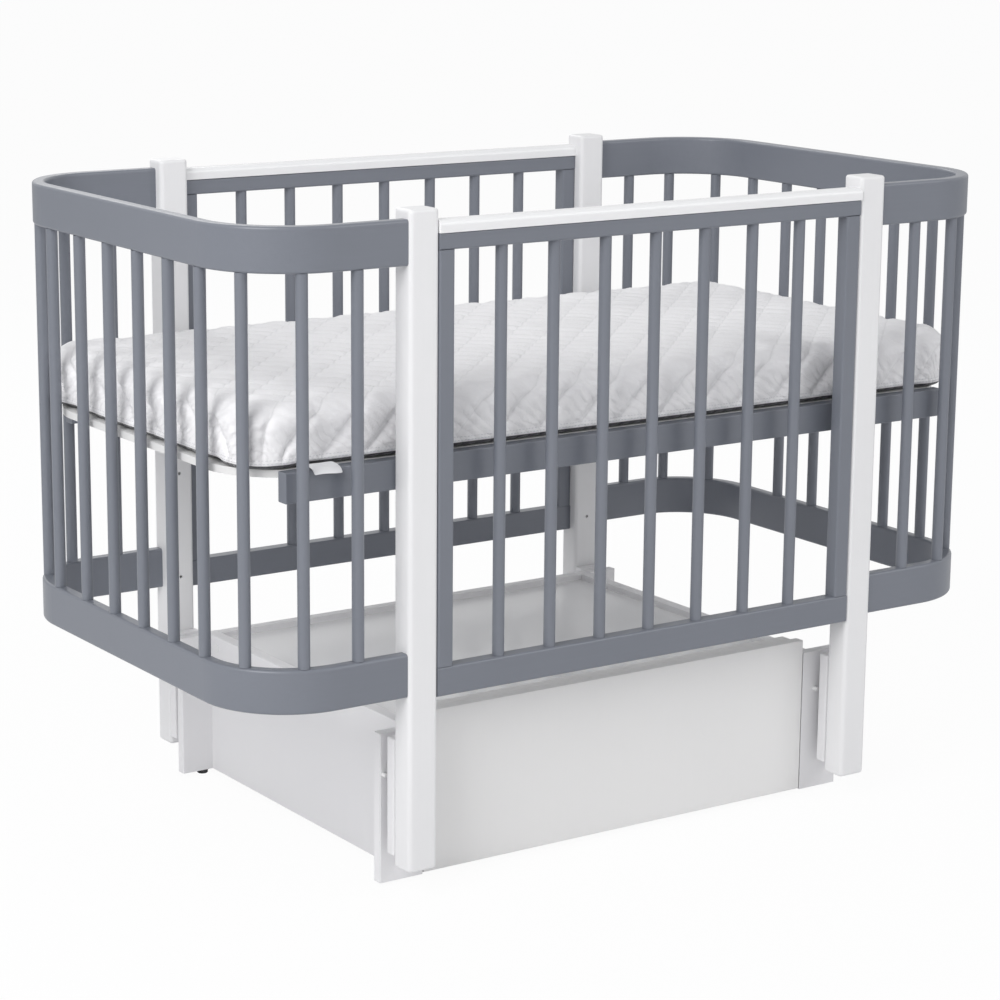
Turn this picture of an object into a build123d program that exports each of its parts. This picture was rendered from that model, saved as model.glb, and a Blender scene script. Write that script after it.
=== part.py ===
from build123d import *
from math import cos, pi, sin
import os

os.makedirs("parts", exist_ok=True)

# A crib that swings lengthwise on a low box with a drawer. Millimetres, +Z up, the front faces -Y.
# The origin is on the floor, under the middle of the box.

# Four corner posts
post_clear = 2.0
post_front = 350.0
post_width = 44.0
post_depth = 38.0
post_bottom = 39.0
post_top = 908.5
post_round = 6.0
post_end_round = 4.0

# Bent end bands and the round spindles between them
end_reach = 622.0
band_setback = 4.0
band_thickness = 18.0
band_height = 58.5
band_corner = 124.0
band_round = 4.0
upper_band_top = 896.5
lower_band_top = 336.0
spindle_diameter = 16.0
end_pitch = 84.0
corner_pitch = 76.5
spindles_each = 3

# Front and rear side frames
side_thickness = 22.0
side_top = 877.0
top_rail_height = 22.0
bottom_rail_base = 272.5
bottom_rail_height = 39.5
stile_width = 23.5
rail_round = 3.0
cap_width = 27.0
cap_height = 16.5
cap_round = 7.0
side_spindles = 7
side_spindle_pitch = 82.3

# Steel dowels that hold each band, post and rail together
dowel_diameter = 6.0
dowel_bite = 20.0

# The bed base, bolted inside the posts at its top height
base_top = 585.5
base_rail_reach = 550.0
base_rail_height = 39.5
base_rail_thickness = 20.0
board_thickness = 10.0
board_clear = 4.0
board_side = 304.0
board_corner = 112.0
board_gap = 0.5
batten_width = 30.0
batten_height = 22.0
batten_x = 300.0
bolt_diameter = 6.0
bolt_head = 13.0
bolt_head_height = 4.0
bolt_bite = 16.0
middle_hole_z = 450.0
low_hole_z = 294.0
spare_hole_diameter = 5.0

# The mattress
mattress_end_clear = 5.0
mattress_side_clear = 13.0
mattress_thickness = 75.0
mattress_corner = 62.0
mattress_seat_gap = 0.3
channel_count = 7
channel_pitch = 55.0
channel_width = 5.0
channel_depth = 2.0
channel_reach = 440.0

# The box
box_reach = 346.0
box_front = 283.0
box_base = 6.0
box_top = 213.0
panel_thickness = 18.0
board_16 = 16.0
wing_width = 49.0
lid_drop = 9.0
glide_diameter = 16.0
front_glide_setback = 33.0
rear_glide_out = 13.0
edge_round = 1.0
wing_round = 2.0

# The drawer
drawer_gap = 2.0
drawer_front_base = 8.0
drawer_front_top = 232.5
drawer_lid_gap = 1.0
drawer_inner_thickness = 18.0
drawer_side_thickness = 12.0
drawer_side_base = 30.0
drawer_side_height = 135.0
drawer_depth = 500.0
drawer_floor_thickness = 4.0
drawer_floor_lift = 10.0
drawer_groove = 6.0
runner_space = 13.0
runner_height = 34.0
runner_length = 470.0
runner_wall = 1.5
runner_clearance = 0.5
runner_setback = 10.0
slide_height = 22.0

# The hangers, links and pivots that carry the crib
hanger_thickness = 17.0
hanger_base = 51.5
hanger_top = 213.0
hanger_bevel = 9.0
upper_pivot_z = 182.0
link_length = 100.0
link_width = 22.0
link_thickness = 4.0
pivot_diameter = 8.0
pivot_clearance = 0.06
pivot_collar = 15.0
pivot_head_height = 2.4
link_play = 0.2
pivot_bite = 12.0

# Pegs that stop the links at the end of the swing
swing_limit = 12.0
stop_diameter = 6.0
stop_drop = 25.0
stop_spare = 0.3
stop_bite = 8.0

# White caps over the box screws
cap_disc = 11.0
cap_disc_height = 1.2
cap_inset = 18.0

# Worked out from the sizes above
post_x = box_reach + post_clear + post_width / 2
post_inner_x = post_x - post_width / 2
post_outer_x = post_x + post_width / 2
post_back = post_front - post_depth
band_out = post_front - band_setback
side_mid = post_front - side_thickness / 2
wing_outer = box_reach + wing_width
panel_inner = box_reach - panel_thickness
lid_top = box_top - lid_drop
hanger_back = post_back - hanger_thickness
pivot_space = hanger_back - box_front
lower_pivot_z = upper_pivot_z - link_length
board_reach = end_reach - band_thickness - board_clear
mattress_length = 2 * (end_reach - band_thickness - mattress_end_clear)
mattress_width = 2 * (post_back - mattress_side_clear)
link_mid = box_front + pivot_space / 2
base_bolt_z = base_top - base_rail_height / 2
upper_dowel_z = side_top - top_rail_height / 2
lower_dowel_z = bottom_rail_base + bottom_rail_height / 2
dowel_y = band_out - band_thickness / 2
corners = {
    "front_left": (-1, -1),
    "front_right": (1, -1),
    "rear_left": (-1, 1),
    "rear_right": (1, 1),
}


# Name a finished piece and write its file
def save(name, piece):
    piece.part.label = name
    export_step(piece.part, f"parts/{name}.step")


# A block between two corners, in the builder that is open
def block(x0, x1, y0, y1, z0, z1, mode=Mode.ADD):
    with BuildSketch(Plane.XY.offset(z0)) as outline:
        with Locations(((x0 + x1) / 2, (y0 + y1) / 2)):
            Rectangle(abs(x1 - x0), abs(y1 - y0))
    extrude(outline.sketch, amount=z1 - z0, mode=mode)


# A block whose long edges are rounded, lying along an axis
def bar(name, x0, x1, y0, y1, z0, z1, along, radius):
    with BuildPart() as piece:
        block(x0, x1, y0, y1, z0, z1)
        fillet(piece.edges().filter_by(along), radius)
    save(name, piece)


# Round holes or pegs along Y, from face y0 to depth y1
def pegs(points, radius, y0, y1, mode=Mode.ADD):
    plane = Plane(origin=(0, y0, 0), x_dir=(1, 0, 0), z_dir=(0, -1, 0))
    with BuildSketch(plane) as outline:
        with Locations(*points):
            Circle(radius)
    extrude(outline.sketch, amount=y0 - y1, mode=mode)


# The same along X, from face x0 to depth x1, at points of Y and Z
def cross_pegs(points, radius, x0, x1, mode=Mode.ADD):
    plane = Plane(origin=(x0, 0, 0), x_dir=(0, 1, 0), z_dir=(1, 0, 0))
    with BuildSketch(plane) as outline:
        with Locations(*points):
            Circle(radius)
    extrude(outline.sketch, amount=x1 - x0, mode=mode)


# Where the dowels pass through the posts of one side
def dowel_points(face):
    return [(face * dowel_y, upper_dowel_z), (face * dowel_y, lower_dowel_z)]


# The centre line of an end band, from one post round to the other
def band_point(distance, side):
    radius = band_corner - band_thickness / 2
    out = end_reach - band_thickness / 2
    wide = band_out - band_thickness / 2
    straight = out - radius - post_outer_x
    arc = pi / 2 * radius
    across = 2 * (wide - radius)
    if distance < straight:
        x, y = post_outer_x + distance, -wide
    elif distance < straight + arc:
        turn = (distance - straight) / radius
        x, y = out - radius + radius * sin(turn), -wide + radius * (1 - cos(turn))
    elif distance < straight + arc + across:
        x, y = out, -wide + radius + distance - straight - arc
    else:
        return mirrored(band_length() - distance, side)
    return side * x, y


# The same point at the rear
def mirrored(distance, side):
    x, y = band_point(distance, side)
    return x, -y


# The whole length of that centre line
def band_length():
    radius = band_corner - band_thickness / 2
    straight = end_reach - band_thickness / 2 - radius - post_outer_x
    return 2 * straight + pi * radius + 2 * (band_out - band_thickness / 2 - radius)


# Where the spindles of one end stand: wider apart across the end than round its corners
def end_places(side):
    middle = band_length() / 2
    across = [end_pitch * (n + 0.5) for n in range(spindles_each)]
    round_corner = [across[-1] + corner_pitch * (n + 1) for n in range(spindles_each)]
    places = []
    for offset in across + round_corner:
        places += [band_point(middle - offset, side), band_point(middle + offset, side)]
    return places


# One bent band, round three sides of an end
def end_band(name, side, top):
    with BuildPart() as band:
        with BuildSketch(Plane.XY.offset(top - band_height)):
            RectangleRounded(2 * end_reach, 2 * band_out, band_corner)
            RectangleRounded(
                2 * (end_reach - band_thickness),
                2 * (band_out - band_thickness),
                band_corner - band_thickness,
                mode=Mode.SUBTRACT,
            )
            with Locations((side * (post_outer_x + end_reach) / 2, 0)):
                Rectangle(end_reach - post_outer_x, 2 * band_out, mode=Mode.INTERSECT)
        extrude(amount=band_height)
        rims = band.edges().group_by(Axis.Z)[0] + band.edges().group_by(Axis.Z)[-1]
        butt = rims.filter_by(Axis.Y).filter_by_position(
            Axis.X, side * post_outer_x - 1, side * post_outer_x + 1
        )
        fillet(rims - butt, band_round)
        height = upper_dowel_z if top == upper_band_top else lower_dowel_z
        cross_pegs(
            [(dowel_y, height), (-dowel_y, height)],
            dowel_diameter / 2,
            side * post_outer_x,
            side * (post_outer_x + dowel_bite),
            Mode.SUBTRACT,
        )
    save(name, band)


# A row of upright round spindles
def spindles(name, places, base, top):
    with BuildPart() as row:
        with BuildSketch(Plane.XY.offset(base)):
            with Locations(*places):
                Circle(spindle_diameter / 2)
        extrude(amount=top - base)
    save(name, row)


# A post, with rounded edges and ends and the holes for the base
def post(name, side, face):
    y0, y1 = sorted((face * post_back, face * post_front))
    with BuildPart() as piece:
        block(
            side * post_inner_x, side * post_outer_x, y0, y1, post_bottom, post_top
        )
        fillet(piece.edges().filter_by(Axis.Z), post_round)
        ends = piece.faces().group_by(Axis.Z)
        fillet(ends[0].edges() + ends[-1].edges(), post_end_round)
        x = side * post_x
        inner = face * post_back
        deep = face * (post_back + bolt_bite)
        spare = [(x, middle_hole_z), (x, low_hole_z)]
        pegs(spare, spare_hole_diameter / 2, inner, deep, Mode.SUBTRACT)
        pegs([(x, base_bolt_z)], bolt_diameter / 2, inner, deep, Mode.SUBTRACT)
        cross_pegs(
            dowel_points(face),
            dowel_diameter / 2,
            side * post_inner_x,
            side * post_outer_x,
            Mode.SUBTRACT,
        )
    save(name, piece)


# A rail of a long side, drilled in both ends for its dowels
def side_rail(name, face, low, high, dowel_z):
    y0, y1 = sorted((face * (post_front - side_thickness), face * post_front))
    with BuildPart() as rail:
        block(-post_inner_x, post_inner_x, y0, y1, low, high)
        fillet(rail.edges().filter_by(Axis.X), rail_round)
        for side in (-1, 1):
            cross_pegs(
                [(face * dowel_y, dowel_z)],
                dowel_diameter / 2,
                side * (post_inner_x - dowel_bite),
                side * post_inner_x,
                Mode.SUBTRACT,
            )
    save(name, rail)


# Rails, cap, stiles and spindles of one long side
def side_frame(face, word):
    y0, y1 = sorted((face * (post_front - side_thickness), face * post_front))
    low = bottom_rail_base + bottom_rail_height
    high = side_top - top_rail_height
    side_rail(f"{word}_bottom_rail", face, bottom_rail_base, low, lower_dowel_z)
    side_rail(f"{word}_top_rail", face, high, side_top, upper_dowel_z)
    side_cap(f"{word}_cap", face)
    for side, end in ((-1, "left"), (1, "right")):
        x0, x1 = sorted((side * (post_inner_x - stile_width), side * post_inner_x))
        bar(f"{word}_stile_{end}", x0, x1, y0, y1, low, high, Axis.Z, rail_round)
    first = -(side_spindles - 1) / 2
    places = [
        ((first + n) * side_spindle_pitch, face * side_mid) for n in range(side_spindles)
    ]
    spindles(f"{word}_spindles", places, low, high)


# The rounded white cap along the top of a side
def side_cap(name, face):
    with BuildPart() as cap:
        block(
            -post_inner_x,
            post_inner_x,
            face * side_mid - cap_width / 2,
            face * side_mid + cap_width / 2,
            side_top,
            side_top + cap_height,
        )
        top = cap.edges().filter_by(Axis.X).group_by(Axis.Z)[-1]
        fillet(top, cap_round)
    save(name, cap)


# The bolts or holes that fix a base rail to its two posts
def base_bolt_points():
    return [(-post_x, base_bolt_z), (post_x, base_bolt_z)]


# A base rail, inside two posts
def base_rail(name, face):
    y0, y1 = sorted((face * post_back, face * (post_back - base_rail_thickness)))
    with BuildPart() as rail:
        block(-base_rail_reach, base_rail_reach, y0, y1, base_top - base_rail_height, base_top)
        fillet(rail.edges().filter_by(Axis.X), rail_round / 2)
        inner = face * (post_back - base_rail_thickness)
        pegs(
            base_bolt_points(), bolt_diameter / 2, inner, face * post_back, Mode.SUBTRACT
        )
    save(name, rail)


# The four bolts, heads inside the rails
def base_bolts():
    with BuildPart() as bolts:
        for face in (-1, 1):
            inner = face * (post_back - base_rail_thickness)
            tip = face * (post_back + bolt_bite)
            head = inner - face * bolt_head_height
            pegs(base_bolt_points(), bolt_diameter / 2, inner, tip)
            pegs(base_bolt_points(), bolt_head / 2, head, inner)
    save("base_bolts", bolts)


# The board: rounded corners, notched where the rails run
def base_board():
    inner = post_back - base_rail_thickness - board_gap
    with BuildPart() as board:
        with BuildSketch(Plane.XY.offset(base_top - board_thickness)):
            RectangleRounded(2 * board_reach, 2 * board_side, board_corner)
            with Locations((0, inner + board_side / 2), (0, -inner - board_side / 2)):
                Rectangle(2 * (base_rail_reach + board_gap), board_side, mode=Mode.SUBTRACT)
        extrude(amount=board_thickness)
    save("base_board", board)


# Two cross battens that carry the board between the rails
def battens():
    inner = post_back - base_rail_thickness
    top = base_top - board_thickness
    with BuildPart() as pair:
        for mid in (-batten_x, batten_x):
            x0, x1 = mid - batten_width / 2, mid + batten_width / 2
            block(x0, x1, -inner, inner, top - batten_height, top)
        fillet(pair.edges().filter_by(Axis.Y), rail_round / 2)
    save("base_battens", pair)


# The mattress: drawn-in sides, a crowned top and lengthwise channels
def mattress():
    base = base_top + mattress_seat_gap
    levels = ((0, 5), (0.1, 0), (0.3, 1), (0.5, 3), (0.72, 0), (0.88, 5), (0.97, 18), (1, 55))
    with BuildPart() as pad:
        for share, inset in levels:
            with BuildSketch(Plane.XY.offset(base + share * mattress_thickness)):
                RectangleRounded(
                    mattress_length - 2 * inset,
                    mattress_width - 2 * inset,
                    mattress_corner - inset,
                )
        loft(ruled=True)
        top = base + mattress_thickness
        for n in range(channel_count):
            y = (n - (channel_count - 1) / 2) * channel_pitch
            y0, y1 = y - channel_width / 2, y + channel_width / 2
            block(-channel_reach, channel_reach, y0, y1, top - channel_depth, top, Mode.SUBTRACT)
    save("mattress", pad)


# One end panel of the box
def end_panel(name, side):
    x0, x1 = sorted((side * panel_inner, side * box_reach))
    with BuildPart() as panel:
        block(x0, x1, -box_front, box_front, box_base, box_top)
        fillet(panel.edges().filter_by(Axis.Y), edge_round)
    save(name, panel)


# A wing at a corner of the box, drilled for its pivot
def wing(name, side, face):
    x0, x1 = sorted((side * box_reach, side * wing_outer))
    y0, y1 = sorted((face * (box_front - board_16), face * box_front))
    with BuildPart() as piece:
        block(x0, x1, y0, y1, box_base, box_top)
        outer = piece.edges().filter_by(Axis.Z).sort_by(Axis.X)
        fillet(outer[-2:] if side > 0 else outer[:2], wing_round)
        pegs(
            [(side * post_x, upper_pivot_z)],
            pivot_diameter / 2,
            face * box_front,
            face * (box_front - pivot_bite),
            Mode.SUBTRACT,
        )
        stop_holes(side, face)
    save(name, piece)


# The back and the sunk lid of the box
def box_back_and_lid():
    inner = box_front - board_16
    with BuildPart() as back:
        block(-panel_inner, panel_inner, inner, box_front, box_base, box_top)
        fillet(back.edges().filter_by(Axis.X), edge_round)
    save("box_back", back)
    with BuildPart() as lid:
        front = -(inner - drawer_inner_thickness - drawer_lid_gap)
        block(-panel_inner, panel_inner, front, inner, lid_top - board_16, lid_top)
    save("box_lid", lid)


# Four black glides, two under the end panels and two under the rear wings
def glides():
    with BuildPart() as feet:
        with BuildSketch(Plane.XY):
            rear_x = box_reach + rear_glide_out
            rear_y = box_front - board_16 / 2
            front_x = box_reach - panel_thickness / 2
            front_y = -(box_front - front_glide_setback)
            with Locations(
                (rear_x, rear_y), (-rear_x, rear_y), (front_x, front_y), (-front_x, front_y)
            ):
                Circle(glide_diameter / 2)
        extrude(amount=box_base)
        chamfer(feet.edges().group_by(Axis.Z)[0], edge_round)
    save("glides", feet)


# White plastic caps on the end panels
def screw_caps():
    z = lid_top - board_16 / 2
    y = box_front - board_16 - cap_inset
    with BuildPart() as caps:
        for side in (-1, 1):
            plane = Plane(origin=(side * box_reach, 0, 0), x_dir=(0, 1, 0), z_dir=(1, 0, 0))
            with BuildSketch(plane):
                with Locations((y, z), (-y, z)):
                    Circle(cap_disc / 2)
            extrude(amount=side * cap_disc_height)
    save("screw_caps", caps)


# The drawer: front, inner front, sides, back and floor
def drawer():
    front_back = -(box_front - board_16)
    half = panel_inner - drawer_gap
    start = front_back + drawer_inner_thickness
    with BuildPart() as front:
        block(-half, half, -box_front, front_back, drawer_front_base, drawer_front_top)
        fillet(front.edges().filter_by(Axis.X), edge_round)
    save("drawer_front", front)
    outer = panel_inner - runner_space
    inner = outer - drawer_side_thickness
    rear = front_back + drawer_depth
    top = drawer_side_base + drawer_side_height
    with BuildPart() as inside:
        block(-outer, outer, front_back, start, drawer_side_base, drawer_front_top)
        fillet(inside.edges().filter_by(Axis.X), edge_round)
    save("drawer_inner_front", inside)
    floor = drawer_side_base + drawer_floor_lift
    for side, end in ((-1, "left"), (1, "right")):
        x0, x1 = sorted((side * inner, side * outer))
        with BuildPart() as wall:
            block(x0, x1, start, rear, drawer_side_base, top)
            groove = (side * inner, side * (inner + drawer_groove))
            block(
                *sorted(groove),
                start,
                rear,
                floor,
                floor + drawer_floor_thickness,
                mode=Mode.SUBTRACT,
            )
        save(f"drawer_side_{end}", wall)
    with BuildPart() as back:
        block(-inner, inner, rear - drawer_side_thickness, rear, floor + drawer_floor_thickness, top)
    save("drawer_back", back)
    with BuildPart() as bottom:
        reach = inner + drawer_groove
        block(-reach, reach, start, rear, floor, floor + drawer_floor_thickness)
    save("drawer_floor", bottom)


# Drawer runners: a channel on each end panel and the slides that they hold
def runners():
    front = -(box_front - board_16) + runner_setback
    mid = drawer_side_base + drawer_side_height / 2
    with BuildPart() as channels:
        for side in (-1, 1):
            runner_length_of(side, front, mid, channel_section)
    save("runners", channels)
    with BuildPart() as slides:
        for side in (-1, 1):
            runner_length_of(side, front, mid, slide_section)
    save("drawer_slides", slides)


# One section, drawn on the panel and drawn out to the length of the runner
def runner_length_of(side, front, mid, section):
    origin = (side * panel_inner, front, mid)
    plane = Plane(origin=origin, x_dir=(-side, 0, 0), z_dir=(0, side, 0))
    with BuildSketch(plane) as outline:
        section()
    extrude(outline.sketch, amount=side * runner_length)


# A C section: a web on the panel, two flanges and two lips
def channel_section():
    depth = runner_space - runner_wall - runner_clearance
    lip = (runner_height - slide_height) / 2 + runner_wall
    with Locations((runner_wall / 2, 0)):
        Rectangle(runner_wall, runner_height)
    for sign in (-1, 1):
        with Locations((depth / 2, sign * (runner_height - runner_wall) / 2)):
            Rectangle(depth, runner_wall)
        with Locations((depth - runner_wall / 2, sign * (runner_height - lip) / 2)):
            Rectangle(runner_wall, lip)


# The slide: a strip on the drawer side with a foot that runs in the channel
def slide_section():
    depth = runner_space - runner_wall - runner_clearance
    neck = slide_height - 2 * (runner_wall + runner_clearance)
    foot = runner_height - 2 * (runner_wall + runner_clearance)
    start = runner_wall + runner_clearance
    end = depth - runner_wall - runner_clearance
    with Locations(((start + runner_space) / 2, 0)):
        Rectangle(runner_space - start, neck)
    with Locations(((start + end) / 2, 0)):
        Rectangle(end - start, foot)


# A hanger board on the inner face of a post, bevelled at its top
def hanger(name, side, face):
    x0, x1 = sorted((side * post_inner_x, side * post_outer_x))
    y0, y1 = sorted((face * hanger_back, face * post_back))
    with BuildPart() as piece:
        block(x0, x1, y0, y1, hanger_base, hanger_top)
        tops = piece.edges().filter_by(Axis.X).group_by(Axis.Z)[-1].sort_by(Axis.Y)
        chamfer(tops[0] if face > 0 else tops[-1], hanger_bevel)
        pegs(
            [(side * post_x, lower_pivot_z)],
            pivot_diameter / 2,
            face * hanger_back,
            face * (hanger_back + pivot_bite),
            Mode.SUBTRACT,
        )
    save(name, piece)


# A steel link with an eye at each end
def link(name, side, face):
    y0, y1 = sorted(
        (face * (link_mid - link_thickness / 2), face * (link_mid + link_thickness / 2))
    )
    x = side * post_x
    ends = [(x, upper_pivot_z), (x, lower_pivot_z)]
    mid_z = (upper_pivot_z + lower_pivot_z) / 2
    plane = Plane(origin=(0, y1, 0), x_dir=(1, 0, 0), z_dir=(0, -1, 0))
    with BuildPart() as piece:
        with BuildSketch(plane):
            with Locations((x, mid_z)):
                SlotCenterToCenter(link_length, link_width, rotation=90)
        extrude(amount=y1 - y0)
        pegs(ends, pivot_diameter / 2 + pivot_clearance, y1, y0, Mode.SUBTRACT)
    save(name, piece)


# A riveted pivot: shank in the wood, collar, journal in the link and a flat head
def pivot(side, face, wood, away, z):
    collar = pivot_collar / 2
    x = side * post_x
    near = link_mid - away * (link_thickness / 2 + link_play)
    far = link_mid + away * (link_thickness / 2 + link_play)
    pegs([(x, z)], pivot_diameter / 2, face * (wood - away * pivot_bite), face * far)
    pegs([(x, z)], collar, face * wood, face * near)
    pegs([(x, z)], collar, face * far, face * (far + away * pivot_head_height))


# All upper pivots on the box, or all lower pivots on the crib
def pivots(name, wood, away, z):
    with BuildPart() as group:
        for side, face in corners.values():
            pivot(side, face, wood, away, z)
    save(name, group)


# The pegs on the wings that each link meets at the end of its swing
def swing_stops():
    turn = (swing_limit + stop_spare) * pi / 180
    reach = (link_width + stop_diameter) / 2
    out = (reach + stop_drop * sin(turn)) / cos(turn)
    z = upper_pivot_z - stop_drop
    with BuildPart() as group:
        for side, face in corners.values():
            x = side * post_x
            pegs(
                [(x - out, z), (x + out, z)],
                stop_diameter / 2,
                face * (box_front - stop_bite),
                face * (link_mid + link_thickness / 2),
            )
    save("swing_stops", group)


# Where those pegs stand, as holes in a wing
def stop_holes(side, face):
    turn = (swing_limit + stop_spare) * pi / 180
    reach = (link_width + stop_diameter) / 2
    out = (reach + stop_drop * sin(turn)) / cos(turn)
    x, z = side * post_x, upper_pivot_z - stop_drop
    start, deep = face * box_front, face * (box_front - stop_bite)
    pegs([(x - out, z), (x + out, z)], stop_diameter / 2, start, deep, Mode.SUBTRACT)


# The steel dowels through the four posts
def frame_dowels():
    with BuildPart() as group:
        for side, face in corners.values():
            cross_pegs(
                dowel_points(face),
                dowel_diameter / 2,
                side * (post_inner_x - dowel_bite),
                side * (post_outer_x + dowel_bite),
            )
    save("frame_dowels", group)


for word, (side, face) in corners.items():
    post(f"post_{word}", side, face)
    hanger(f"hanger_{word}", side, face)
    wing(f"box_wing_{word}", side, face)
    link(f"link_{word}", side, face)

for side, end in ((-1, "left"), (1, "right")):
    end_band(f"upper_band_{end}", side, upper_band_top)
    end_band(f"lower_band_{end}", side, lower_band_top)
    spindles(
        f"{end}_spindles", end_places(side), lower_band_top, upper_band_top - band_height
    )
    end_panel(f"box_end_{end}", side)

side_frame(-1, "front")
side_frame(1, "rear")
frame_dowels()
base_rail("base_rail_front", -1)
base_rail("base_rail_rear", 1)
base_bolts()
base_board()
battens()
mattress()
box_back_and_lid()
glides()
screw_caps()
drawer()
runners()
swing_stops()
pivots("upper_pivots", box_front, 1, upper_pivot_z)
pivots("lower_pivots", hanger_back, -1, lower_pivot_z)
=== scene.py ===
import math

import bmesh
import bpy
import numpy as np
from mathutils import Matrix, Vector
from mathutils.bvhtree import BVHTree


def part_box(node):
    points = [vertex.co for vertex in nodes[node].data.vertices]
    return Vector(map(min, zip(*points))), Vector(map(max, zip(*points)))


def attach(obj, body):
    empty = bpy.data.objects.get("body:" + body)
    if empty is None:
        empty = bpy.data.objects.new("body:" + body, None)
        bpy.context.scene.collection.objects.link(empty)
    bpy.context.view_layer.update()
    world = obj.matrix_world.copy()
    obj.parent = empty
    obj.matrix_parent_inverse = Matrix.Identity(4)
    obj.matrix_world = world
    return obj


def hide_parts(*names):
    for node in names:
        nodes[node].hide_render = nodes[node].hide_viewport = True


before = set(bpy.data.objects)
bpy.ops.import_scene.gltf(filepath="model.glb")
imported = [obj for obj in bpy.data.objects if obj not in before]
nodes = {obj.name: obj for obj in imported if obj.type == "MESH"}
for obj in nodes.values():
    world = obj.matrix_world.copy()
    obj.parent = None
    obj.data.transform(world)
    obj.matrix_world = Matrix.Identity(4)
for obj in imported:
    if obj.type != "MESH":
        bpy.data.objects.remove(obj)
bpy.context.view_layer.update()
print("frame loaded:", len(nodes), "nodes")


# a socket that can be reckoned with: each step of the sum adds a Math node
class Wire:
    def __init__(self, tree, socket):
        self.tree, self.socket = tree, socket

    def maths(self, operation, *others):
        node = self.tree.nodes.new("ShaderNodeMath")
        node.operation = operation
        for slot, value in zip(node.inputs, (self,) + others):
            if isinstance(value, Wire):
                self.tree.links.new(value.socket, slot)
            else:
                slot.default_value = value
        return Wire(self.tree, node.outputs[0])

    def __add__(self, other): return self.maths("ADD", other)
    def __sub__(self, other): return self.maths("SUBTRACT", other)
    def __mul__(self, other): return self.maths("MULTIPLY", other)
    def __truediv__(self, other): return self.maths("DIVIDE", other)
    def __radd__(self, other): return self + other
    def __rsub__(self, other): return (self * -1.0) + other
    def __rmul__(self, other): return self * other
    def __rtruediv__(self, other): return self.maths("POWER", -1.0) * other
    def below(self, limit): return self.maths("LESS_THAN", limit)
    def above(self, limit): return self.maths("GREATER_THAN", limit)
    def size(self): return self.maths("ABSOLUTE")

    def capped(self, low=0.0, high=1.0):
        return self.maths("MAXIMUM", low).maths("MINIMUM", high)

    def wave(self, pitch):  # 0 on each of equally spaced lines, 1 halfway between two
        return (self * (math.pi / pitch)).maths("SINE").size()


# adds nodes to a tree, each with its settings first and then its sockets
class Wiring:
    def __init__(self, tree):
        self.tree = tree
        tree.nodes.clear()

    def add(self, kind, settings=None, out=0, **links):
        node = self.tree.nodes.new(kind)
        for key, value in (settings or {}).items():
            setattr(node, key, value)
        for key, value in links.items():
            socket = self.pick(node, key)
            if isinstance(value, Wire):
                self.tree.links.new(value.socket, socket)
            else:
                socket.default_value = value
        return Wire(self.tree, node.outputs[out]) if node.outputs else None

    def pick(self, node, key):  # by name without its spaces, or by place: i0, i1
        if key[0] == "i" and key[1:].isdigit():
            return node.inputs[int(key[1:])]
        return next(s for s in node.inputs if s.name.replace(" ", "") == key and s.enabled)


class Finish(Wiring):
    def __init__(self, name):
        self.material = bpy.data.materials.new(name)
        self.material.use_nodes = True
        super().__init__(self.material.node_tree)

    def spot(self):
        return self.add("ShaderNodeTexCoord", out="Object")

    def stretched(self, scale=(1, 1, 1)):
        return self.add("ShaderNodeMapping", Vector=self.spot(), Scale=scale)

    def axes(self, spot=None):
        split = self.add("ShaderNodeSeparateXYZ", Vector=spot or self.spot()).socket.node
        return [Wire(self.tree, socket) for socket in split.outputs]

    def noise(self, scale, detail, rough, spot=None):
        return self.add(
            "ShaderNodeTexNoise",
            Vector=spot or self.stretched(), Scale=scale, Detail=detail, Roughness=rough,
        )

    def blend(self, amount, one, two):
        return self.add("ShaderNodeMix", {"data_type": "RGBA"}, 2, Factor=amount, A=one, B=two)

    def bump(self, height, distance, strength, under=None):
        below = {"Normal": under} if under else {}
        return self.add(
            "ShaderNodeBump", Height=height, Distance=distance, Strength=strength, **below)

    def close(self, colour, roughness, normal, **fixed):
        shader = self.add(
            "ShaderNodeBsdfPrincipled",
            BaseColor=colour, Roughness=roughness, Normal=normal, **fixed,
        )
        self.add("ShaderNodeOutputMaterial", Surface=shader)
        return self.material


def rgb(red, green, blue):
    return (red, green, blue, 1.0)


# lacquered beech, in grey-blue and in white: each a light and a deep tone
lacquer = {
    "grey": (rgb(0.193, 0.206, 0.240), rgb(0.170, 0.183, 0.213)),
    "white": (rgb(0.845, 0.843, 0.85), rgb(0.80, 0.798, 0.806)),
    "grainScale": 260.0,
    "grainStretch": 0.03,
    "grainDepth": 0.00012,
    "flowScale": 55.0,
    "flowDepth": 0.0002,
    "speckScale": 900.0,
    "cloudScale": 3.5,
    "coat": 0.12,
    "coatRoughness": 0.22,
}
alongX, alongZ = 0, 2


def lacquerFinish(name, tones, grainAxis, dull):
    make = Finish(name)
    light, deep = tones
    stretch = [1.0, 1.0, 1.0]
    stretch[grainAxis] = lacquer["grainStretch"]
    grain = make.noise(lacquer["grainScale"], 3.0, 0.6, make.stretched(tuple(stretch)))
    cloud = make.noise(lacquer["cloudScale"], 2.0, 0.5)
    flow = make.noise(lacquer["flowScale"], 1.0, 0.4)
    speck = make.noise(lacquer["speckScale"], 1.0, 0.5)
    colour = make.blend((cloud * 0.9 + grain * 0.5 - 0.35).capped(), deep, light)
    roughness = cloud * 0.10 + grain * 0.08 + speck * 0.05 + (dull - 0.10)
    pores = make.bump(grain, lacquer["grainDepth"], 0.45)
    skin = make.bump(flow, lacquer["flowDepth"], 0.35, pores)
    return make.close(
        colour, roughness.capped(0.08, 0.9), skin,
        CoatWeight=lacquer["coat"], CoatRoughness=lacquer["coatRoughness"],
    )


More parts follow.
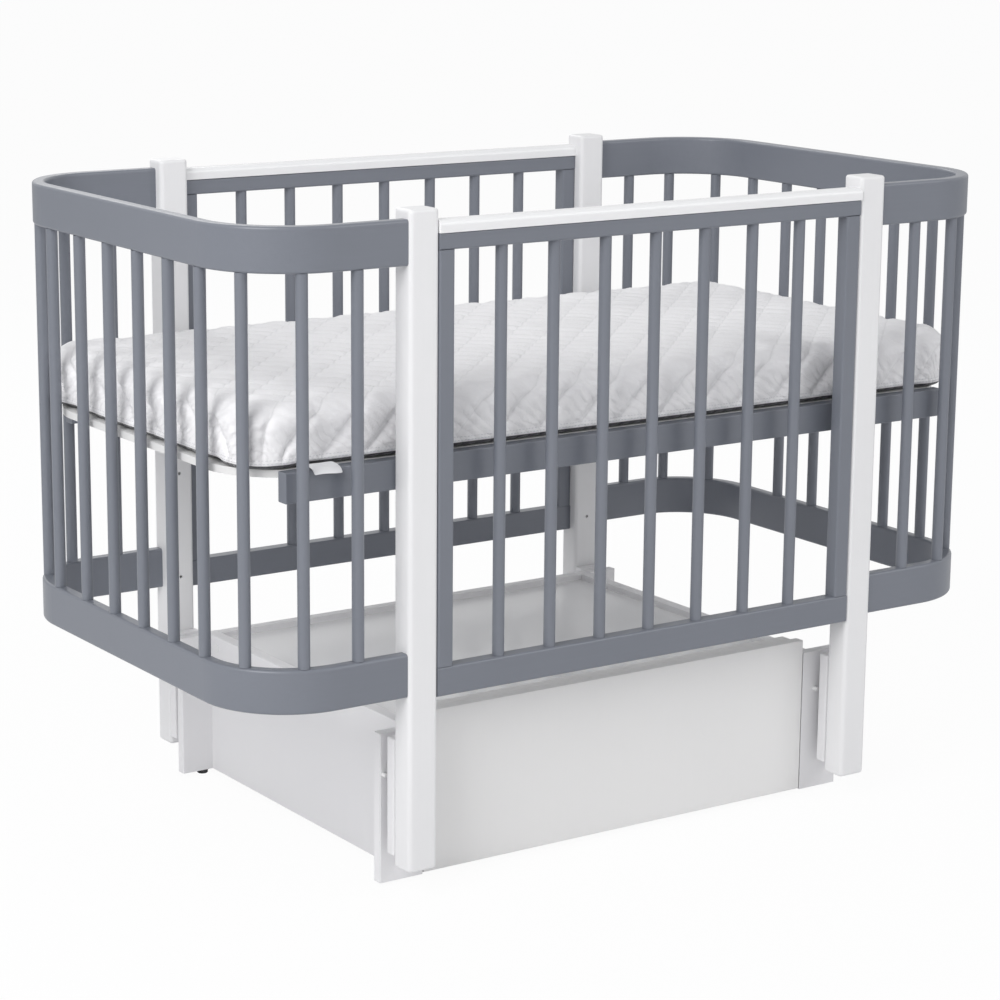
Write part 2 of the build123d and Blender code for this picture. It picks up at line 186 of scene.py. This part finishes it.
# foil-faced boards, with a fine line where the edging meets the face
foil = {
    "pearlScale": 1500.0,
    "pearlDepth": 0.00006,
    "strokeScale": 420.0,
    "strokeStretch": 0.02,
    "cloudScale": 2.2,
    "edging": 0.0011,
    "lineWidth": 0.00022,
    "lineColour": rgb(0.55, 0.55, 0.56),
}
boards = {
    "box": {"face": rgb(0.835, 0.83, 0.84), "shade": rgb(0.79, 0.785, 0.80)},
    "lid": {"face": rgb(0.86, 0.86, 0.865), "shade": rgb(0.83, 0.83, 0.84)},
    "drawer": {"face": rgb(0.84, 0.835, 0.83), "shade": rgb(0.80, 0.795, 0.79)},
    "base": {"face": rgb(0.80, 0.80, 0.795), "shade": rgb(0.74, 0.735, 0.73)},
}
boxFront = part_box("box_end_left")[1].y  # the end panels reach as far to front and back


def foilFinish(name, face, shade, dull, strokes, frontPlane=None):
    make = Finish(name)
    fine = make.noise(foil["pearlScale"], 2.0, 0.6)
    streaks = make.stretched((1.0, 1.0, foil["strokeStretch"]))
    upright = make.noise(foil["strokeScale"], 2.0, 0.5, streaks)
    cloud = make.noise(foil["cloudScale"], 2.0, 0.5)
    colour = make.blend((cloud * 0.8 + upright * strokes).capped(), shade, face)
    height = fine + upright * strokes
    if frontPlane:
        depth = make.axes()[1].size()
        line = (depth - (frontPlane - foil["edging"])).size().below(foil["lineWidth"])
        colour = make.blend(line * 0.5, colour, foil["lineColour"])
        height = height - line * 3.0
    roughness = (dull + cloud * 0.08 + fine * 0.06 - 0.07).capped(0.08, 0.9)
    return make.close(colour, roughness, make.bump(height, foil["pearlDepth"], 0.6))


plastics = {
    "cap": {"light": rgb(0.87, 0.87, 0.875), "dark": rgb(0.85, 0.85, 0.86)},
    "white": {"light": rgb(0.84, 0.84, 0.84), "dark": rgb(0.80, 0.80, 0.80)},
    "black": {"light": rgb(0.03, 0.03, 0.032), "dark": rgb(0.018, 0.018, 0.02)},
    "cloudScale": 12.0,
}


def plasticFinish(name, light, dark, dull, grainScale, grainDepth):
    make = Finish(name)
    grain = make.noise(grainScale, 2.0, 0.5)
    cloud = make.noise(plastics["cloudScale"], 2.0, 0.5)
    roughness = (cloud * 0.12 + grain * 0.1 + dull - 0.1).capped(0.05, 0.9)
    colour = make.blend(cloud, dark, light)
    return make.close(colour, roughness, make.bump(grain, grainDepth, 0.5))


zincPlate = {
    "dull": rgb(0.46, 0.47, 0.49),
    "bright": rgb(0.66, 0.67, 0.69),
    "brushScale": 700.0,
    "brushStretch": 0.05,
    "brushDepth": 0.00005,
    "bloomScale": 60.0,
}


def zincFinish(name):
    make = Finish(name)
    strokes = make.stretched((1.0, zincPlate["brushStretch"], 1.0))
    brushed = make.noise(zincPlate["brushScale"], 2.0, 0.6, strokes)
    bloom = make.noise(zincPlate["bloomScale"], 3.0, 0.6)
    colour = make.blend((bloom * 1.4 - 0.3).capped(), zincPlate["dull"], zincPlate["bright"])
    roughness = (bloom * 0.3 + brushed * 0.12 + 0.15).capped(0.1, 0.8)
    scratches = make.bump(brushed, zincPlate["brushDepth"], 0.6)
    return make.close(colour, roughness, scratches, Metallic=1.0)


greyUpright = lacquerFinish("greyLacquerUpright", lacquer["grey"], alongZ, dull=0.36)
greyLevel = lacquerFinish("greyLacquerLevel", lacquer["grey"], alongX, dull=0.34)
whitePost = lacquerFinish("whiteLacquer", lacquer["white"], alongZ, dull=0.38)
whiteFoil = foilFinish(
    "whiteFoil", **boards["box"], dull=0.42, strokes=0.15, frontPlane=boxFront)
lidFoil = foilFinish("lidFoil", **boards["lid"], dull=0.2, strokes=0.02)
drawerFoil = foilFinish("drawerFoil", **boards["drawer"], dull=0.45, strokes=0.3)
bedBoard = foilFinish("bedBoard", **boards["base"], dull=0.5, strokes=0.1)
capPlastic = plasticFinish(
    "capPlastic", **plastics["cap"], dull=0.22, grainScale=500.0, grainDepth=0.00004)
whitePlastic = plasticFinish(
    "whitePlastic", **plastics["white"], dull=0.4, grainScale=900.0, grainDepth=0.00006)
blackPlastic = plasticFinish(
    "blackPlastic", **plastics["black"], dull=0.5, grainScale=1400.0, grainDepth=0.0001)
zinc = zincFinish("zincSteel")

steelPieces = (
    "frame_dowels", "base_bolts", "upper_pivots", "lower_pivots", "runners", "drawer_slides",
)


def finishFor(name):
    if name in steelPieces or name.startswith("link_"):
        return zinc
    if name.startswith("post_"):
        return whitePost
    if name.startswith(("hanger_", "box_end", "box_wing")) or name == "box_back":
        return whiteFoil
    if name == "box_lid":
        return lidFoil
    if name.startswith("drawer_"):
        return drawerFoil
    if name in ("base_board", "base_battens"):
        return bedBoard
    if name.endswith("_cap"):
        return capPlastic
    if name in ("screw_caps", "swing_stops"):
        return whitePlastic
    if name == "glides":
        return blackPlastic
    if name.endswith("spindles") or "stile" in name:
        return greyUpright
    return greyLevel  # bands, side rails and base rails


def paint(piece, material):
    piece.data.materials.clear()
    piece.data.materials.append(material)


for name, part in nodes.items():
    paint(part, finishFor(name))
print("finishes on the frame")


def addObject(name, data):
    piece = bpy.data.objects.new(name, data)
    bpy.context.scene.collection.objects.link(piece)
    return piece


def closeMesh(name, mesh):
    bmesh.ops.recalc_face_normals(mesh, faces=mesh.faces)
    data = bpy.data.meshes.new(name)
    mesh.to_mesh(data)
    mesh.free()
    return addObject(name, data)


def bakeModifiers(piece):
    graph = bpy.context.evaluated_depsgraph_get()
    data = bpy.data.meshes.new_from_object(piece.evaluated_get(graph))
    piece.modifiers.clear()
    old = piece.data
    piece.data = data
    bpy.data.meshes.remove(old)


def subdivide(piece, levels):
    smooth = piece.modifiers.new("smooth", "SUBSURF")
    smooth.levels = smooth.render_levels = levels
    bakeModifiers(piece)


# the four hanger boards, square-topped with softly rounded edges
hangerBoard = {
    "round": 0.0025,
    "steps": 3,
}


def makeHanger(name):
    low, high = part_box(name)
    mesh = bmesh.new()
    bmesh.ops.create_cube(mesh, size=1.0)
    for vert in mesh.verts:
        vert.co = Vector([(a + b) / 2 + v * (b - a) for a, b, v in zip(low, high, vert.co)])
    piece = closeMesh(name + "_board", mesh)
    soften = piece.modifiers.new("edges", "BEVEL")
    soften.width, soften.segments = hangerBoard["round"], hangerBoard["steps"]
    bakeModifiers(piece)
    paint(piece, whiteFoil)
    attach(piece, "crib")
    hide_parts(name)


for name in nodes:
    if name.startswith("hanger_"):
        makeHanger(name)
print("hanger boards done")


# quilted ticking, drawn on the cover as it lies when folded out flat
slant = 0.70711  # the seams run at 45 degrees
ticking = {
    "seamPitch": 0.0474,    # between diagonal seams, square to them
    "ribPitch": 0.034,      # between the soft folds that cross them on the top
    "puckerPitch": 0.0125,
    "white": rgb(0.90, 0.893, 0.905),
    # grey painted into the seam grooves and pucker creases as painted crease shade
    "thread": rgb(0.74, 0.735, 0.755),
    "worn": rgb(0.78, 0.775, 0.80),
    "stitch": rgb(0.95, 0.95, 0.95),
    "stitchPitch": 0.0036,
    # near-black for the band along the bottom of the side
    "underside": rgb(0.05, 0.052, 0.06),
    "undersideTop": 0.0065,  # how far up the side the near-black band along the bottom reaches
    "sideTop": 0.062,
    "sideBlend": 0.02,
    "weavePitch": 0.0011,
    "weaveDepth": 0.00022,
    "foldDepth": 0.003,
}


def tickingFinish(baseHeight):
    make = Finish("quiltedTicking")
    flat = make.add("ShaderNodeUVMap", {"uv_map": "quilt"})
    u, v, _ = make.axes(flat)
    z = make.axes()[2]
    drift = make.noise(9.0, 3.0, 0.55, flat)
    small = make.noise(42.0, 4.0, 0.6, flat)
    across = (u - v) * slant + (drift - 0.5) * 0.006
    along = (u + v) * slant + (drift - 0.5) * 0.05 + (small - 0.5) * 0.012
    seam = across.wave(ticking["seamPitch"])
    onSeam = (1.0 - seam / 0.11).capped()
    veins = along.wave(ticking["puckerPitch"])
    side = ((baseHeight + ticking["sideTop"] - z) / ticking["sideBlend"]).capped()
    patchy = (small * 1.8 - 0.55).capped()
    # darker along the pucker creases, more so on the sides: painted shade in the creases
    puckerCreaseShade = (1.0 - veins / 0.35).capped() * patchy * (side * 0.75 + 0.25)
    weave = u.wave(ticking["weavePitch"]) * v.wave(ticking["weavePitch"])
    stitch = onSeam * ((u + v) * slant).wave(ticking["stitchPitch"]).above(0.35)
    # seam grooves and pucker creases blended towards grey: painted crease shade
    dark = (puckerCreaseShade * 0.7 + onSeam * 0.55).capped()
    colour = make.blend(dark, ticking["white"], ticking["thread"])
    colour = make.blend((1.0 - drift) * 0.08, colour, ticking["worn"])
    colour = make.blend(stitch * 0.25, colour, ticking["stitch"])
    edge = baseHeight + ticking["undersideTop"] + (drift - 0.5) * 0.001
    # near-black along the lowest few millimetres of the side
    colour = make.blend((z - edge).below(0.0), colour, ticking["underside"])
    height = veins * 0.45 * (side * 0.8 + 0.2) + small * 0.9 + seam * 0.7 + stitch * 0.25
    folds = make.bump(height, ticking["foldDepth"], 0.8)
    knit = make.bump(weave, ticking["weaveDepth"], 0.55, folds)
    roughness = (small * 0.1 + 0.78).capped(0.5, 0.95)
    return make.close(
        colour, roughness, knit,
        SheenWeight=0.35, SheenRoughness=0.5, SpecularIORLevel=0.25,
    )


mattressShape = {
    "voxel": 0.007,
    "start": 0.002,         # how much smaller than its space it starts
    "lift": 0.001,
    "corner": 0.062,
    "cornerSteps": 14,
    "profile": (            # share of the height, and how far the side draws in there
        (0.0, 0.005), (0.05, 0.001), (0.2, 0.0), (0.5, 0.003),
        (0.78, 0.001), (0.9, 0.005), (0.97, 0.013), (1.0, 0.026),
    ),
    "pressure": 4.0,
    "frames": 20,
    "cap": 0.009,           # the most that the puffing moves a point
    "sideways": 0.35,       # share of the puffing that the cover lets through sideways
    "endClear": 0.0005,     # left between the mattress and the space it fills
    "bulge": 0.0015,        # the most that a fold stands out of that space
    "onBoard": 0.0003,      # least height above the base board
    "waist": 0.0035,
    "waistHeight": 0.030,
    "waistSpread": 0.016,
    "rim": 0.004,
    "foldFrom": 0.55,       # share of the corner's radius where the sides fold down
    "foldOver": 0.3,
    "seamDepth": 0.0068,
    "seamWidth": 0.0052,
    "topSeam": 0.22,        # share of that depth on the top
    "ribDepth": 0.0032,
    "ribEdge": 0.05,        # the ribs die out this far from the edge of the top
    "puckerDepth": 0.0024,
    "crumple": 0.0012,
    "hem": 0.015,
    "hemDepth": 0.0016,
    "hemWidth": 0.0025,
    "fadeFrom": 0.008,      # the seams start this high up the side
    "fadeOver": 0.012,
}


def roundedRing(halfX, halfY, radius, steps):
    ring = []
    for quarter, (sx, sy) in enumerate(((1, 1), (-1, 1), (-1, -1), (1, -1))):
        for n in range(steps + 1):
            angle = math.pi / 2 * (quarter + n / steps)
            ring.append((
                sx * (halfX - radius) + radius * math.cos(angle),
                sy * (halfY - radius) + radius * math.sin(angle),
            ))
    return ring


def shellThroughRings(name, rings):
    mesh = bmesh.new()
    loops = [[mesh.verts.new(point) for point in ring] for ring in rings]
    for lower, upper in zip(loops, loops[1:]):
        count = len(lower)
        for n in range(count):
            m = (n + 1) % count
            mesh.faces.new((lower[n], lower[m], upper[m], upper[n]))
    mesh.faces.new(list(reversed(loops[0])))
    mesh.faces.new(loops[-1])
    return closeMesh(name, mesh)


def coordsOf(piece):
    co = np.empty(len(piece.data.vertices) * 3)
    piece.data.vertices.foreach_get("co", co)
    return co.reshape(-1, 3)


def setCoords(piece, co):
    flat = np.ascontiguousarray(co, dtype=np.float32).ravel()
    piece.data.vertices.foreach_set("co", flat)
    piece.data.update()


def inflate(piece, pressure, frames, cap):
    before = coordsOf(piece)
    cloth = piece.modifiers.new("puff", "CLOTH")
    cloth.settings.quality = 5
    cloth.settings.mass = 0.35
    cloth.settings.tension_stiffness = 12
    cloth.settings.compression_stiffness = 12
    cloth.settings.bending_stiffness = 0.8
    cloth.settings.use_pressure = True
    cloth.settings.uniform_pressure_force = pressure
    cloth.settings.effector_weights.gravity = 0.0
    cloth.point_cache.frame_start = 1
    cloth.point_cache.frame_end = frames
    for step in range(1, frames + 1):
        bpy.context.scene.frame_set(step)
    bakeModifiers(piece)
    move = coordsOf(piece) - before
    move[:, :2] *= mattressShape["sideways"]
    length = np.linalg.norm(move, axis=1, keepdims=True)
    setCoords(piece, before + move * np.minimum(1.0, cap / np.maximum(length, 1e-9)))
    bpy.context.scene.frame_set(1)


# where a point of the cover lies when the sides are folded out flat
def unfold(co, half, corner, top):
    inner = np.maximum(np.abs(co[:, :2]) - (half - corner), 0.0) * np.sign(co[:, :2])
    reach = np.linalg.norm(inner, axis=1, keepdims=True)
    outward = inner / np.maximum(reach, 1e-6)
    past = (reach - corner * mattressShape["foldFrom"]) / (corner * mattressShape["foldOver"])
    drop = np.maximum(top - co[:, 2:3] - mattressShape["rim"], 0.0) * np.clip(past, 0.0, 1.0)
    return co[:, :2] + outward * drop


def wavyNoise(points, scale, seed):  # smooth and repeatable, from a few crossed waves
    turn = np.random.default_rng(seed)
    total = np.zeros(len(points))
    for octave in range(7):
        angle, phase = turn.uniform(0, math.tau, 2)
        size = scale * turn.uniform(0.6, 1.9)
        way = points[:, 0] * math.cos(angle) + points[:, 1] * math.sin(angle)
        total += np.sin(way * size + phase)
    return total / 4.0


def carveQuilt(piece, half, corner, base, top):
    shape = mattressShape
    co = coordsOf(piece)
    normals = np.empty(len(co) * 3)
    piece.data.vertices.foreach_get("normal", normals)
    normals = normals.reshape(-1, 3)
    flat = unfold(co, half, corner, top)
    drift = wavyNoise(flat, 16.0, 3)
    small = wavyNoise(flat, 60.0, 5)
    across = (flat[:, 0] - flat[:, 1]) * slant + drift * 0.0012
    along = (flat[:, 0] + flat[:, 1]) * slant + drift * 0.009 + small * 0.0015
    pitch = ticking["seamPitch"]
    offset = np.abs((across / pitch + 0.5) % 1.0 - 0.5) * pitch
    groove = np.exp(-(offset / shape["seamWidth"]) ** 2)
    pillow = np.cos(np.clip(offset / pitch, 0, 0.5) * math.pi)
    upper = np.clip(normals[:, 2] * 1.6, 0.0, 1.0)
    side = np.clip(1.0 - np.abs(normals[:, 2]) * 1.3, 0.0, 1.0)
    rib = np.cos(along / ticking["ribPitch"] * math.tau + small * 0.5)
    rib *= 0.65 + 0.35 * wavyNoise(flat, 22.0, 8)
    pucker = np.cos(along / ticking["puckerPitch"] * math.tau + drift * 1.4)
    pucker *= 0.6 + 0.4 * wavyNoise(flat, 30.0, 9)
    fade = np.clip((co[:, 2] - base - shape["fadeFrom"]) / shape["fadeOver"], 0.0, 1.0)
    inward = np.clip((half - np.abs(co[:, :2])).min(axis=1) / shape["ribEdge"], 0.0, 1.0)
    depth = -shape["seamDepth"] * groove * fade * (shape["topSeam"] * upper + side)
    depth += shape["ribDepth"] * rib * upper * inward
    depth += shape["puckerDepth"] * pucker * (side + 0.25 * upper) * fade * (1 - groove)
    depth += shape["crumple"] * small * fade * (side + 0.5 * upper) * (1 - pillow * 0.5)
    hemLine = np.exp(-((co[:, 2] - base - shape["hem"]) / shape["hemWidth"]) ** 2) * side
    depth -= shape["hemDepth"] * hemLine
    moved = co + normals * depth[:, None]
    moved[:, 2] = np.maximum(moved[:, 2], base + shape["onBoard"])
    setCoords(piece, moved)
    layer = piece.data.uv_layers.new(name="quilt")
    corners = np.empty(len(piece.data.loops), dtype=np.int32)
    piece.data.loops.foreach_get("vertex_index", corners)
    layer.data.foreach_set("uv", flat[corners].astype(np.float32).ravel())


def drawInWaist(piece, half, base):
    shape = mattressShape
    co = coordsOf(piece)
    co[:, :2] *= (half - shape["endClear"]) / np.abs(co[:, :2]).max(axis=0)
    waist = np.exp(-((co[:, 2] - base - shape["waistHeight"]) / shape["waistSpread"]) ** 2)
    outward = co[:, :2] / half
    edge = np.clip((np.abs(outward).max(axis=1) - 0.93) / 0.06, 0, 1)
    inward = (waist * edge * shape["waist"])[:, None] * (np.abs(outward) > 0.9)
    co[:, :2] -= np.sign(co[:, :2]) * inward
    co[:, 2] = np.maximum(co[:, 2], base + shape["onBoard"])
    setCoords(piece, co)


def makeMattress():
    low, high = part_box("mattress")
    half = np.array([high.x, high.y])
    base, top = low.z, high.z
    start, corner = mattressShape["start"], mattressShape["corner"]
    rings = []
    for share, inset in mattressShape["profile"]:
        inset += start
        height = base + mattressShape["lift"] + share * (top - base - start)
        ring = roundedRing(
            half[0] - inset, half[1] - inset, corner - inset, mattressShape["cornerSteps"])
        rings.append([(x, y, height) for x, y in ring])
    piece = shellThroughRings("mattress_pad", rings)
    remesh = piece.modifiers.new("voxels", "REMESH")
    remesh.mode, remesh.voxel_size = "VOXEL", mattressShape["voxel"]
    bakeModifiers(piece)
    print("mattress remeshed:", len(piece.data.vertices))
    inflate(piece, mattressShape["pressure"], mattressShape["frames"], mattressShape["cap"])
    print("mattress puffed")
    drawInWaist(piece, half, base)
    subdivide(piece, 1)
    carveQuilt(piece, half, corner, base, top)
    co = coordsOf(piece)
    limit = half + mattressShape["bulge"]
    co[:, :2] = np.clip(co[:, :2], -limit, limit)
    setCoords(piece, co)
    paint(piece, tickingFinish(base))
    piece.data.shade_smooth()
    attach(piece, "mattress")
    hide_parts("mattress")
    return piece, base, half


mattressPiece, mattressBase, mattressHalf = makeMattress()
print("mattress done:", len(mattressPiece.data.polygons))


# two rows of stitches round the hem, by Geometry Nodes
hemStitch = {
    "rows": (0.0095, 0.0135),  # heights above the base
    "pitch": 0.0052,
    "length": 0.0038,
    "thick": 0.00055,
    "proud": 0.0002,
    "samples": 900,            # points that the row is traced through
    "cornerSteps": 20,
    "beadSides": 6,
    "beadRings": 4,
    "dark": rgb(0.62, 0.62, 0.65),
    "light": rgb(0.80, 0.80, 0.82),
}


def resampled(ring, count):
    ring = np.array(ring + ring[:1])
    steps = np.linalg.norm(np.diff(ring, axis=0), axis=1)
    reach = np.concatenate(([0], np.cumsum(steps)))
    at = np.linspace(0, reach[-1], count, endpoint=False)
    return list(zip(np.interp(at, reach, ring[:, 0]), np.interp(at, reach, ring[:, 1])))


def surfacePath(piece, height):
    faces = [tuple(face.vertices) for face in piece.data.polygons]
    tree = BVHTree.FromPolygons([vert.co for vert in piece.data.vertices], faces)
    corner = mattressShape["corner"]
    coreX, coreY = (half - corner for half in mattressHalf)
    outline = roundedRing(mattressHalf[0], mattressHalf[1], corner, hemStitch["cornerSteps"])
    points = []
    for x, y in resampled(outline, hemStitch["samples"]):
        centre = Vector((max(-coreX, min(coreX, x)), max(-coreY, min(coreY, y)), height))
        outward = (Vector((x, y, height)) - centre).normalized()
        hit = tree.ray_cast(centre + outward * 0.2, -outward)[0]
        if hit:
            points.append(hit + outward * hemStitch["proud"])
    return points


def stitchTree(material):
    tree = bpy.data.node_groups.new("stitchRow", "GeometryNodeTree")
    face = tree.interface
    face.new_socket("Geometry", in_out="INPUT", socket_type="NodeSocketGeometry")
    sizes = {}
    for label in ("Pitch", "Stitch length", "Thread thickness"):
        sizes[label] = face.new_socket(label, in_out="INPUT", socket_type="NodeSocketFloat")
    face.new_socket("Geometry", in_out="OUTPUT", socket_type="NodeSocketGeometry")
    make = Wiring(tree)
    given = make.add("NodeGroupInput").socket.node.outputs
    path, pitch, length, thick = (Wire(tree, given[n]) for n in range(4))
    curve = make.add("GeometryNodeMeshToCurve", Mesh=path)
    row = make.add("GeometryNodeResampleCurve", {"mode": "LENGTH"}, Curve=curve, Length=pitch)
    bead = make.add(
        "GeometryNodeMeshUVSphere",
        Segments=hemStitch["beadSides"], Rings=hemStitch["beadRings"], Radius=0.5,
    )
    tangent = make.add("GeometryNodeInputTangent")
    turn = make.add("FunctionNodeAlignRotationToVector", {"axis": "X"}, Vector=tangent)
    size = make.add("ShaderNodeCombineXYZ", X=length, Y=thick, Z=thick)
    beads = make.add(
        "GeometryNodeInstanceOnPoints", Points=row, Instance=bead, Rotation=turn, Scale=size)
    solid = make.add("GeometryNodeRealizeInstances", Geometry=beads)
    threaded = make.add("GeometryNodeSetMaterial", Geometry=solid, Material=material)
    make.add("NodeGroupOutput", Geometry=threaded)
    return tree, {label: socket.identifier for label, socket in sizes.items()}


def threadFinish():
    make = Finish("hemThread")
    twist = make.noise(2600.0, 1.0, 0.5)
    colour = make.blend(twist, hemStitch["dark"], hemStitch["light"])
    roughness = (twist * 0.2 + 0.6).capped()
    return make.close(colour, roughness, make.bump(twist, 0.0001, 0.5), SheenWeight=0.2)


def makeHemStitches():
    verts, edges = [], []
    for height in hemStitch["rows"]:
        points = surfacePath(mattressPiece, mattressBase + height)
        first = len(verts)
        verts += [tuple(point) for point in points]
        edges += [(first + n, first + (n + 1) % len(points)) for n in range(len(points))]
    data = bpy.data.meshes.new("hem_stitches")
    data.from_pydata(verts, edges, [])
    piece = addObject("hem_stitches", data)
    tree, sockets = stitchTree(threadFinish())
    rows = piece.modifiers.new("rows", "NODES")
    rows.node_group = tree
    rows[sockets["Pitch"]] = hemStitch["pitch"]
    rows[sockets["Stitch length"]] = hemStitch["length"]
    rows[sockets["Thread thickness"]] = hemStitch["thick"] * 2
    bakeModifiers(piece)
    piece.data.shade_smooth()
    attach(piece, "mattress")
    return piece


stitches = makeHemStitches()
print("hem stitches:", len(stitches.data.polygons))


# the bare tag sewn in the hem
tagShape = {
    "left": -0.516,
    "right": -0.4745,
    "line": (  # over the rail: distance past the mattress, height above its base
        (-0.0025, 0.0047), (0.005, 0.0044), (0.013, 0.0037),
        (0.0188, 0.0020), (0.0228, -0.0012), (0.0248, -0.0046),
    ),
    "thick": 0.0004,
    "along": 14,
    "ripple": 0.0009,
    "shade": rgb(0.83, 0.835, 0.85),
    "face": rgb(0.88, 0.88, 0.89),
}


def tagFinish():
    make = Finish("tagSatin")
    rows = make.noise(1800.0, 1.0, 0.5, make.stretched((1.0, 0.2, 0.2)))
    cloud = make.noise(60.0, 2.0, 0.5)
    colour = make.blend(cloud, tagShape["shade"], tagShape["face"])
    roughness = (rows * 0.2 + 0.4).capped()
    return make.close(colour, roughness, make.bump(rows, 0.00008, 0.6), SheenWeight=0.2)


def makeTag():
    front = -mattressHalf[1]
    line = [Vector((0, front - out, mattressBase + rise)) for out, rise in tagShape["line"]]
    count = tagShape["along"]
    verts, faces = [], []
    for row, point in enumerate(line):
        for n in range(count + 1):
            x = tagShape["left"] + (tagShape["right"] - tagShape["left"]) * n / count
            bend = math.sin(n / count * math.pi * 1.4 + 0.4)
            lift = tagShape["ripple"] * bend * row / (len(line) - 1)
            verts.append((x, point.y - lift * 0.3, point.z + lift))
    for row in range(len(line) - 1):
        for n in range(count):
            a = row * (count + 1) + n
            faces.append((a, a + count + 1, a + count + 2, a + 1))
    data = bpy.data.meshes.new("mattress_tag")
    data.from_pydata(verts, [], faces)
    piece = addObject("mattress_tag", data)
    wall = piece.modifiers.new("wall", "SOLIDIFY")
    wall.thickness, wall.offset = tagShape["thick"], 0.0
    subdivide(piece, 2)
    paint(piece, tagFinish())
    piece.data.shade_smooth()
    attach(piece, "mattress")


makeTag()
print("tag done")


# floor, sky, lamps and the view
studio = {
    "floorColour": rgb(0.86, 0.86, 0.865),
    "floorShade": rgb(0.85, 0.85, 0.855),
    "floorReach": 30.0,
    "cameraWhite": 0.95,  # how far the camera sees the floor as plain white
    "sky": 0.52,
    "skyColour": rgb(0.98, 0.985, 1.0),
    "skyInGloss": 0.6,
}
lamps = {
    "keyLamp": {"spot": (-3.6, -1.6, 2.9), "aim": (0, 0, 0.5), "size": 2.6, "power": 115.0},
    "fillLamp": {"spot": (2.4, -3.6, 2.4), "aim": (0, 0, 0.5), "size": 2.6, "power": 42.0},
    "backLamp": {"spot": (0.5, 3.5, 3.2), "aim": (0, 0, 0.6), "size": 2.4, "power": 40.0},
}


def makeFloor():
    reach = studio["floorReach"]
    sides = [(-reach, -reach, 0), (reach, -reach, 0), (reach, reach, 0), (-reach, reach, 0)]
    data = bpy.data.meshes.new("studio_floor")
    data.from_pydata(sides, [], [(0, 1, 2, 3)])
    floor = addObject("studio_floor", data)
    make = Finish("studioFloor")
    grit = make.noise(40.0, 3.0, 0.5)
    tone = make.blend(grit, studio["floorShade"], studio["floorColour"])
    matt = make.add("ShaderNodeBsdfDiffuse", Color=tone)
    glow = make.add("ShaderNodeEmission")
    seen = make.add("ShaderNodeLightPath", out="Is Camera Ray") * studio["cameraWhite"]
    shown = make.add("ShaderNodeMixShader", i0=seen, i1=matt, i2=glow)
    make.add("ShaderNodeOutputMaterial", Surface=shown)
    data.materials.append(make.material)


def makeSky():
    world = bpy.data.worlds.new("studioSky")
    bpy.context.scene.world = world
    world.use_nodes = True
    make = Wiring(world.node_tree)
    white = make.add("ShaderNodeBackground", Color=rgb(1, 1, 1), Strength=1.0)
    soft = make.add("ShaderNodeBackground", Color=studio["skyColour"], Strength=studio["sky"])
    camera = make.add("ShaderNodeLightPath", out="Is Camera Ray")
    gloss = make.add("ShaderNodeLightPath", out="Is Glossy Ray")
    seen = (camera + gloss * studio["skyInGloss"]).capped()
    shown = make.add("ShaderNodeMixShader", i0=seen, i1=soft, i2=white)
    make.add("ShaderNodeOutputWorld", Surface=shown)


def addLamp(name, spot, aim, size, power):
    lamp = bpy.data.lights.new(name, "AREA")
    lamp.shape, lamp.size, lamp.energy = "SQUARE", size, power
    holder = addObject(name, lamp)
    holder.location = spot
    towards = Vector(aim) - Vector(spot)
    holder.rotation_euler = towards.to_track_quat("-Z", "Y").to_euler()


# lens and stand, fitted to the crib's own edges in the photograph
view = {
    "lens": 103.0,
    "sensor": 36.0,
    "farEnd": 100.0,
    "yaw": -34.361,
    "pitch": -12.786,
    "roll": 0.516,
    "spot": (-2.2931, -3.3332, 1.3438),
}


def makeCamera():
    yaw, pitch, roll = (math.radians(view[key]) for key in ("yaw", "pitch", "roll"))
    level = math.cos(pitch)
    ahead = Vector((-math.sin(yaw) * level, math.cos(yaw) * level, math.sin(pitch)))
    right = Vector((math.cos(yaw), math.sin(yaw), 0.0))
    up = right.cross(ahead)
    rightRolled = right * math.cos(roll) + up * math.sin(roll)
    upRolled = up * math.cos(roll) - right * math.sin(roll)
    lens = bpy.data.cameras.new("photoView")
    lens.lens, lens.sensor_width, lens.sensor_fit = view["lens"], view["sensor"], "HORIZONTAL"
    lens.clip_end = view["farEnd"]
    eye = addObject("photoView", lens)
    turn = Matrix((rightRolled, upRolled, -ahead)).transposed().to_4x4()
    eye.matrix_world = Matrix.Translation(Vector(view["spot"])) @ turn
    bpy.context.scene.camera = eye


makeFloor()
makeSky()
for name, lamp in lamps.items():
    addLamp(name, **lamp)
makeCamera()
bpy.context.scene.view_settings.view_transform = "Standard"
print("studio done")
